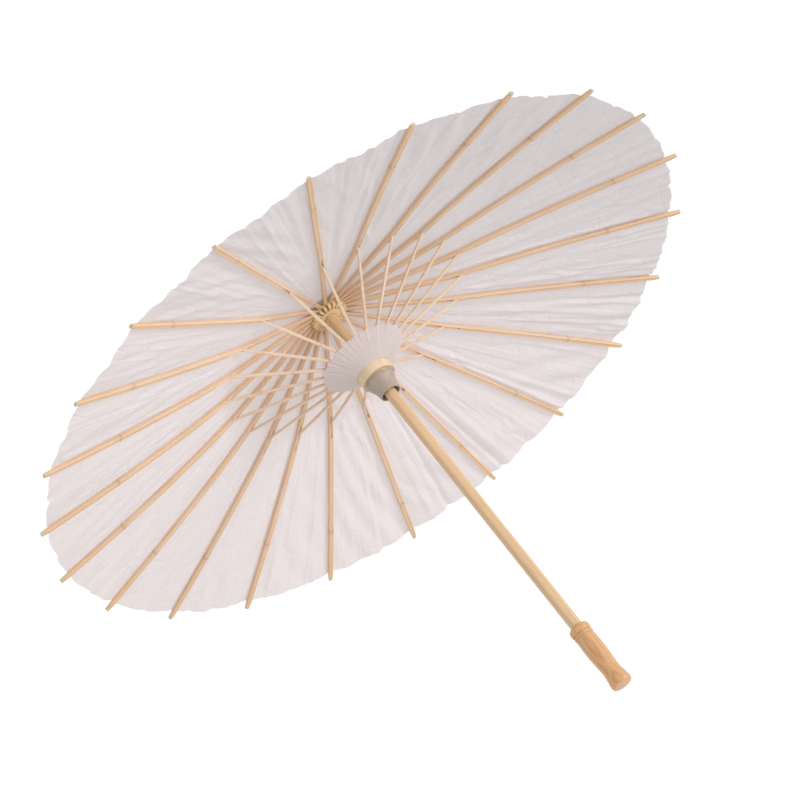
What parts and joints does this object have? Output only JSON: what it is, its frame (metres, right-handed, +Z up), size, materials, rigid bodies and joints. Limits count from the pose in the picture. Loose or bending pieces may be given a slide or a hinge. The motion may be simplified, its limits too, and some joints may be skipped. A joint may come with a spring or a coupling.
{
  "type": "oil paper umbrella",
  "caption": "Open oil paper parasol: pleated round paper canopy on split bamboo ribs and struts, with a sliding runner, a straight wooden pole and a turned handle.",
  "frame": {"origin": "centre of the handle's end face", "axes": "+Z up along the pole from the handle to the finial, +X along rib 01"},
  "size_m": [0.6, 0.5944, 0.4343],
  "materials": {
    "rib_bamboo": "split bamboo, satin",
    "strut_bamboo": "pale split bamboo, matte",
    "pole_wood": "straight grained, thin varnish",
    "handle_wood": "turned, satin varnish",
    "notch_wood": "sawn, matte",
    "hub_wood": "turned, matte",
    "oiled_paper": "oiled, creased, satin",
    "collar_plastic": "moulded, satin",
    "wire": "drawn wire"
  },
  "bodies": {
    "shaft": {"pole": "pole_wood", "handle": "handle_wood", "finial": "handle_wood", "top_notch": "notch_wood", "notch_ring": "wire", "top_cap": "oiled_paper", "canopy_paper": "oiled_paper"},
    "rib_01": {"rib_01": "rib_bamboo"},
    "rib_02": {"rib_02": "rib_bamboo"},
    "rib_03": {"rib_03": "rib_bamboo"},
    "rib_04": {"rib_04": "rib_bamboo"},
    "rib_05": {"rib_05": "rib_bamboo"},
    "rib_06": {"rib_06": "rib_bamboo"},
    "rib_07": {"rib_07": "rib_bamboo"},
    "rib_08": {"rib_08": "rib_bamboo"},
    "rib_09": {"rib_09": "rib_bamboo"},
    "rib_10": {"rib_10": "rib_bamboo"},
    "rib_11": {"rib_11": "rib_bamboo"},
    "rib_12": {"rib_12": "rib_bamboo"},
    "rib_13": {"rib_13": "rib_bamboo"},
    "rib_14": {"rib_14": "rib_bamboo"},
    "rib_15": {"rib_15": "rib_bamboo"},
    "rib_16": {"rib_16": "rib_bamboo"},
    "rib_17": {"rib_17": "rib_bamboo"},
    "rib_18": {"rib_18": "rib_bamboo"},
    "rib_19": {"rib_19": "rib_bamboo"},
    "rib_20": {"rib_20": "rib_bamboo"},
    "rib_21": {"rib_21": "rib_bamboo"},
    "rib_22": {"rib_22": "rib_bamboo"},
    "strut_01": {"strut_01": "strut_bamboo"},
    "strut_02": {"strut_02": "strut_bamboo"},
    "strut_03": {"strut_03": "strut_bamboo"},
    "strut_04": {"strut_04": "strut_bamboo"},
    "strut_05": {"strut_05": "strut_bamboo"},
    "strut_06": {"strut_06": "strut_bamboo"},
    "strut_07": {"strut_07": "strut_bamboo"},
    "strut_08": {"strut_08": "strut_bamboo"},
    "strut_09": {"strut_09": "strut_bamboo"},
    "strut_10": {"strut_10": "strut_bamboo"},
    "strut_11": {"strut_11": "strut_bamboo"},
    "strut_12": {"strut_12": "strut_bamboo"},
    "strut_13": {"strut_13": "strut_bamboo"},
    "strut_14": {"strut_14": "strut_bamboo"},
    "strut_15": {"strut_15": "strut_bamboo"},
    "strut_16": {"strut_16": "strut_bamboo"},
    "strut_17": {"strut_17": "strut_bamboo"},
    "strut_18": {"strut_18": "strut_bamboo"},
    "strut_19": {"strut_19": "strut_bamboo"},
    "strut_20": {"strut_20": "strut_bamboo"},
    "strut_21": {"strut_21": "strut_bamboo"},
    "strut_22": {"strut_22": "strut_bamboo"},
    "runner": {"runner_hub": "hub_wood", "runner_ring": "wire", "runner_collar": "collar_plastic", "runner_paper": "oiled_paper"},
    "catch": {"catch_spring": "wire"}
  },
  "joints": [
    {"name": "canopy_fold", "type": "hinge", "parent": "shaft", "child": "rib_01", "pos_m": [0.012, 0, 0.4073], "axis": [0, 1, 0], "range_deg": [0, 70.6], "deforming": ["canopy_paper", "runner_paper", "catch_spring"]},
    {"name": "rib_hinge_02", "type": "hinge", "parent": "shaft", "child": "rib_02", "pos_m": [0.01151, 0.00338, 0.4073], "axis": [-0.2817, 0.9595, 0], "range_deg": [0, 70.6]},
    {"name": "rib_hinge_03", "type": "hinge", "parent": "shaft", "child": "rib_03", "pos_m": [0.01009, 0.00649, 0.4073], "axis": [-0.5406, 0.8413, 0], "range_deg": [0, 70.6]},
    {"name": "rib_hinge_04", "type": "hinge", "parent": "shaft", "child": "rib_04", "pos_m": [0.00786, 0.00907, 0.4073], "axis": [-0.7557, 0.6549, 0], "range_deg": [0, 70.6]},
    {"name": "rib_hinge_05", "type": "hinge", "parent": "shaft", "child": "rib_05", "pos_m": [0.00498, 0.01092, 0.4073], "axis": [-0.9096, 0.4154, 0], "range_deg": [0, 70.6]},
    {"name": "rib_hinge_06", "type": "hinge", "parent": "shaft", "child": "rib_06", "pos_m": [0.00171, 0.01188, 0.4073], "axis": [-0.9898, 0.1423, 0], "range_deg": [0, 70.6]},
    {"name": "rib_hinge_07", "type": "hinge", "parent": "shaft", "child": "rib_07", "pos_m": [-0.00171, 0.01188, 0.4073], "axis": [-0.9898, -0.1423, 0], "range_deg": [0, 70.6]},
    {"name": "rib_hinge_08", "type": "hinge", "parent": "shaft", "child": "rib_08", "pos_m": [-0.00498, 0.01092, 0.4073], "axis": [-0.9096, -0.4154, 0], "range_deg": [0, 70.6]},
    {"name": "rib_hinge_09", "type": "hinge", "parent": "shaft", "child": "rib_09", "pos_m": [-0.00786, 0.00907, 0.4073], "axis": [-0.7557, -0.6549, 0], "range_deg": [0, 70.6]},
    {"name": "rib_hinge_10", "type": "hinge", "parent": "shaft", "child": "rib_10", "pos_m": [-0.01009, 0.00649, 0.4073], "axis": [-0.5406, -0.8413, 0], "range_deg": [0, 70.6]},
    {"name": "rib_hinge_11", "type": "hinge", "parent": "shaft", "child": "rib_11", "pos_m": [-0.01151, 0.00338, 0.4073], "axis": [-0.2817, -0.9595, 0], "range_deg": [0, 70.6]},
    {"name": "rib_hinge_12", "type": "hinge", "parent": "shaft", "child": "rib_12", "pos_m": [-0.012, 0, 0.4073], "axis": [0, -1, 0], "range_deg": [0, 70.6]},
    {"name": "rib_hinge_13", "type": "hinge", "parent": "shaft", "child": "rib_13", "pos_m": [-0.01151, -0.00338, 0.4073], "axis": [0.2817, -0.9595, 0], "range_deg": [0, 70.6]},
    {"name": "rib_hinge_14", "type": "hinge", "parent": "shaft", "child": "rib_14", "pos_m": [-0.01009, -0.00649, 0.4073], "axis": [0.5406, -0.8413, 0], "range_deg": [0, 70.6]},
    {"name": "rib_hinge_15", "type": "hinge", "parent": "shaft", "child": "rib_15", "pos_m": [-0.00786, -0.00907, 0.4073], "axis": [0.7557, -0.6549, 0], "range_deg": [0, 70.6]},
    {"name": "rib_hinge_16", "type": "hinge", "parent": "shaft", "child": "rib_16", "pos_m": [-0.00498, -0.01092, 0.4073], "axis": [0.9096, -0.4154, 0], "range_deg": [0, 70.6]},
    {"name": "rib_hinge_17", "type": "hinge", "parent": "shaft", "child": "rib_17", "pos_m": [-0.00171, -0.01188, 0.4073], "axis": [0.9898, -0.1423, 0], "range_deg": [0, 70.6]},
    {"name": "rib_hinge_18", "type": "hinge", "parent": "shaft", "child": "rib_18", "pos_m": [0.00171, -0.01188, 0.4073], "axis": [0.9898, 0.1423, 0], "range_deg": [0, 70.6]},
    {"name": "rib_hinge_19", "type": "hinge", "parent": "shaft", "child": "rib_19", "pos_m": [0.00498, -0.01092, 0.4073], "axis": [0.9096, 0.4154, 0], "range_deg": [0, 70.6]},
    {"name": "rib_hinge_20", "type": "hinge", "parent": "shaft", "child": "rib_20", "pos_m": [0.00786, -0.00907, 0.4073], "axis": [0.7557, 0.6549, 0], "range_deg": [0, 70.6]},
    {"name": "rib_hinge_21", "type": "hinge", "parent": "shaft", "child": "rib_21", "pos_m": [0.01009, -0.00649, 0.4073], "axis": [0.5406, 0.8413, 0], "range_deg": [0, 70.6]},
    {"name": "rib_hinge_22", "type": "hinge", "parent": "shaft", "child": "rib_22", "pos_m": [0.01151, -0.00338, 0.4073], "axis": [0.2817, 0.9595, 0], "range_deg": [0, 70.6]},
    {"name": "strut_hinge_01", "type": "hinge", "parent": "rib_01", "child": "strut_01", "pos_m": [0.1137, 0, 0.3774], "axis": [0, -1, 0], "range_deg": [0, 141.2]},
    {"name": "strut_hinge_02", "type": "hinge", "parent": "rib_02", "child": "strut_02", "pos_m": [0.10909, 0.03203, 0.3774], "axis": [0.2817, -0.9595, 0], "range_deg": [0, 141.2]},
    {"name": "strut_hinge_03", "type": "hinge", "parent": "rib_03", "child": "strut_03", "pos_m": [0.09565, 0.06147, 0.3774], "axis": [0.5406, -0.8413, 0], "range_deg": [0, 141.2]},
    {"name": "strut_hinge_04", "type": "hinge", "parent": "rib_04", "child": "strut_04", "pos_m": [0.07445, 0.08593, 0.3774], "axis": [0.7557, -0.6549, 0], "range_deg": [0, 141.2]},
    {"name": "strut_hinge_05", "type": "hinge", "parent": "rib_05", "child": "strut_05", "pos_m": [0.04723, 0.10342, 0.3774], "axis": [0.9096, -0.4154, 0], "range_deg": [0, 141.2]},
    {"name": "strut_hinge_06", "type": "hinge", "parent": "rib_06", "child": "strut_06", "pos_m": [0.01618, 0.11254, 0.3774], "axis": [0.9898, -0.1423, 0], "range_deg": [0, 141.2]},
    {"name": "strut_hinge_07", "type": "hinge", "parent": "rib_07", "child": "strut_07", "pos_m": [-0.01618, 0.11254, 0.3774], "axis": [0.9898, 0.1423, 0], "range_deg": [0, 141.2]},
    {"name": "strut_hinge_08", "type": "hinge", "parent": "rib_08", "child": "strut_08", "pos_m": [-0.04723, 0.10342, 0.3774], "axis": [0.9096, 0.4154, 0], "range_deg": [0, 141.2]},
    {"name": "strut_hinge_09", "type": "hinge", "parent": "rib_09", "child": "strut_09", "pos_m": [-0.07445, 0.08593, 0.3774], "axis": [0.7557, 0.6549, 0], "range_deg": [0, 141.2]},
    {"name": "strut_hinge_10", "type": "hinge", "parent": "rib_10", "child": "strut_10", "pos_m": [-0.09565, 0.06147, 0.3774], "axis": [0.5406, 0.8413, 0], "range_deg": [0, 141.2]},
    {"name": "strut_hinge_11", "type": "hinge", "parent": "rib_11", "child": "strut_11", "pos_m": [-0.10909, 0.03203, 0.3774], "axis": [0.2817, 0.9595, 0], "range_deg": [0, 141.2]},
    {"name": "strut_hinge_12", "type": "hinge", "parent": "rib_12", "child": "strut_12", "pos_m": [-0.1137, 0, 0.3774], "axis": [0, 1, 0], "range_deg": [0, 141.2]},
    {"name": "strut_hinge_13", "type": "hinge", "parent": "rib_13", "child": "strut_13", "pos_m": [-0.10909, -0.03203, 0.3774], "axis": [-0.2817, 0.9595, 0], "range_deg": [0, 141.2]},
    {"name": "strut_hinge_14", "type": "hinge", "parent": "rib_14", "child": "strut_14", "pos_m": [-0.09565, -0.06147, 0.3774], "axis": [-0.5406, 0.8413, 0], "range_deg": [0, 141.2]},
    {"name": "strut_hinge_15", "type": "hinge", "parent": "rib_15", "child": "strut_15", "pos_m": [-0.07445, -0.08593, 0.3774], "axis": [-0.7557, 0.6549, 0], "range_deg": [0, 141.2]},
    {"name": "strut_hinge_16", "type": "hinge", "parent": "rib_16", "child": "strut_16", "pos_m": [-0.04723, -0.10342, 0.3774], "axis": [-0.9096, 0.4154, 0], "range_deg": [0, 141.2]},
    {"name": "strut_hinge_17", "type": "hinge", "parent": "rib_17", "child": "strut_17", "pos_m": [-0.01618, -0.11254, 0.3774], "axis": [-0.9898, 0.1423, 0], "range_deg": [0, 141.2]},
    {"name": "strut_hinge_18", "type": "hinge", "parent": "rib_18", "child": "strut_18", "pos_m": [0.01618, -0.11254, 0.3774], "axis": [-0.9898, -0.1423, 0], "range_deg": [0, 141.2]},
    {"name": "strut_hinge_19", "type": "hinge", "parent": "rib_19", "child": "strut_19", "pos_m": [0.04723, -0.10342, 0.3774], "axis": [-0.9096, -0.4154, 0], "range_deg": [0, 141.2]},
    {"name": "strut_hinge_20", "type": "hinge", "parent": "rib_20", "child": "strut_20", "pos_m": [0.07445, -0.08593, 0.3774], "axis": [-0.7557, -0.6549, 0], "range_deg": [0, 141.2]},
    {"name": "strut_hinge_21", "type": "hinge", "parent": "rib_21", "child": "strut_21", "pos_m": [0.09565, -0.06147, 0.3774], "axis": [-0.5406, -0.8413, 0], "range_deg": [0, 141.2]},
    {"name": "strut_hinge_22", "type": "hinge", "parent": "rib_22", "child": "strut_22", "pos_m": [0.10909, -0.03203, 0.3774], "axis": [-0.2817, -0.9595, 0], "range_deg": [0, 141.2]},
    {"name": "runner_hinge", "type": "hinge", "parent": "strut_01", "child": "runner", "pos_m": [0.012, 0, 0.3475], "axis": [0, 1, 0], "range_deg": [0, 70.6]},
    {"name": "catch_press", "type": "hinge", "parent": "shaft", "child": "catch", "pos_m": [0.00034, -0.00083, 0.2895], "axis": [-0.9272, -0.3746, 0], "range_deg": [0, 4], "stiffness_Nm_per_rad": 0.6, "springref_deg": -2.86}
  ],
  "couplings": [
    {"joint": "rib_hinge_02", "follows": "canopy_fold", "ratio": 1},
    {"joint": "rib_hinge_03", "follows": "canopy_fold", "ratio": 1},
    {"joint": "rib_hinge_04", "follows": "canopy_fold", "ratio": 1},
    {"joint": "rib_hinge_05", "follows": "canopy_fold", "ratio": 1},
    {"joint": "rib_hinge_06", "follows": "canopy_fold", "ratio": 1},
    {"joint": "rib_hinge_07", "follows": "canopy_fold", "ratio": 1},
    {"joint": "rib_hinge_08", "follows": "canopy_fold", "ratio": 1},
    {"joint": "rib_hinge_09", "follows": "canopy_fold", "ratio": 1},
    {"joint": "rib_hinge_10", "follows": "canopy_fold", "ratio": 1},
    {"joint": "rib_hinge_11", "follows": "canopy_fold", "ratio": 1},
    {"joint": "rib_hinge_12", "follows": "canopy_fold", "ratio": 1},
    {"joint": "rib_hinge_13", "follows": "canopy_fold", "ratio": 1},
    {"joint": "rib_hinge_14", "follows": "canopy_fold", "ratio": 1},
    {"joint": "rib_hinge_15", "follows": "canopy_fold", "ratio": 1},
    {"joint": "rib_hinge_16", "follows": "canopy_fold", "ratio": 1},
    {"joint": "rib_hinge_17", "follows": "canopy_fold", "ratio": 1},
    {"joint": "rib_hinge_18", "follows": "canopy_fold", "ratio": 1},
    {"joint": "rib_hinge_19", "follows": "canopy_fold", "ratio": 1},
    {"joint": "rib_hinge_20", "follows": "canopy_fold", "ratio": 1},
    {"joint": "rib_hinge_21", "follows": "canopy_fold", "ratio": 1},
    {"joint": "rib_hinge_22", "follows": "canopy_fold", "ratio": 1},
    {"joint": "strut_hinge_01", "follows": "canopy_fold", "ratio": 2},
    {"joint": "strut_hinge_02", "follows": "canopy_fold", "ratio": 2},
    {"joint": "strut_hinge_03", "follows": "canopy_fold", "ratio": 2},
    {"joint": "strut_hinge_04", "follows": "canopy_fold", "ratio": 2},
    {"joint": "strut_hinge_05", "follows": "canopy_fold", "ratio": 2},
    {"joint": "strut_hinge_06", "follows": "canopy_fold", "ratio": 2},
    {"joint": "strut_hinge_07", "follows": "canopy_fold", "ratio": 2},
    {"joint": "strut_hinge_08", "follows": "canopy_fold", "ratio": 2},
    {"joint": "strut_hinge_09", "follows": "canopy_fold", "ratio": 2},
    {"joint": "strut_hinge_10", "follows": "canopy_fold", "ratio": 2},
    {"joint": "strut_hinge_11", "follows": "canopy_fold", "ratio": 2},
    {"joint": "strut_hinge_12", "follows": "canopy_fold", "ratio": 2},
    {"joint": "strut_hinge_13", "follows": "canopy_fold", "ratio": 2},
    {"joint": "strut_hinge_14", "follows": "canopy_fold", "ratio": 2},
    {"joint": "strut_hinge_15", "follows": "canopy_fold", "ratio": 2},
    {"joint": "strut_hinge_16", "follows": "canopy_fold", "ratio": 2},
    {"joint": "strut_hinge_17", "follows": "canopy_fold", "ratio": 2},
    {"joint": "strut_hinge_18", "follows": "canopy_fold", "ratio": 2},
    {"joint": "strut_hinge_19", "follows": "canopy_fold", "ratio": 2},
    {"joint": "strut_hinge_20", "follows": "canopy_fold", "ratio": 2},
    {"joint": "strut_hinge_21", "follows": "canopy_fold", "ratio": 2},
    {"joint": "strut_hinge_22", "follows": "canopy_fold", "ratio": 2},
    {"joint": "runner_hinge", "follows": "canopy_fold", "ratio": 1}
  ]
}
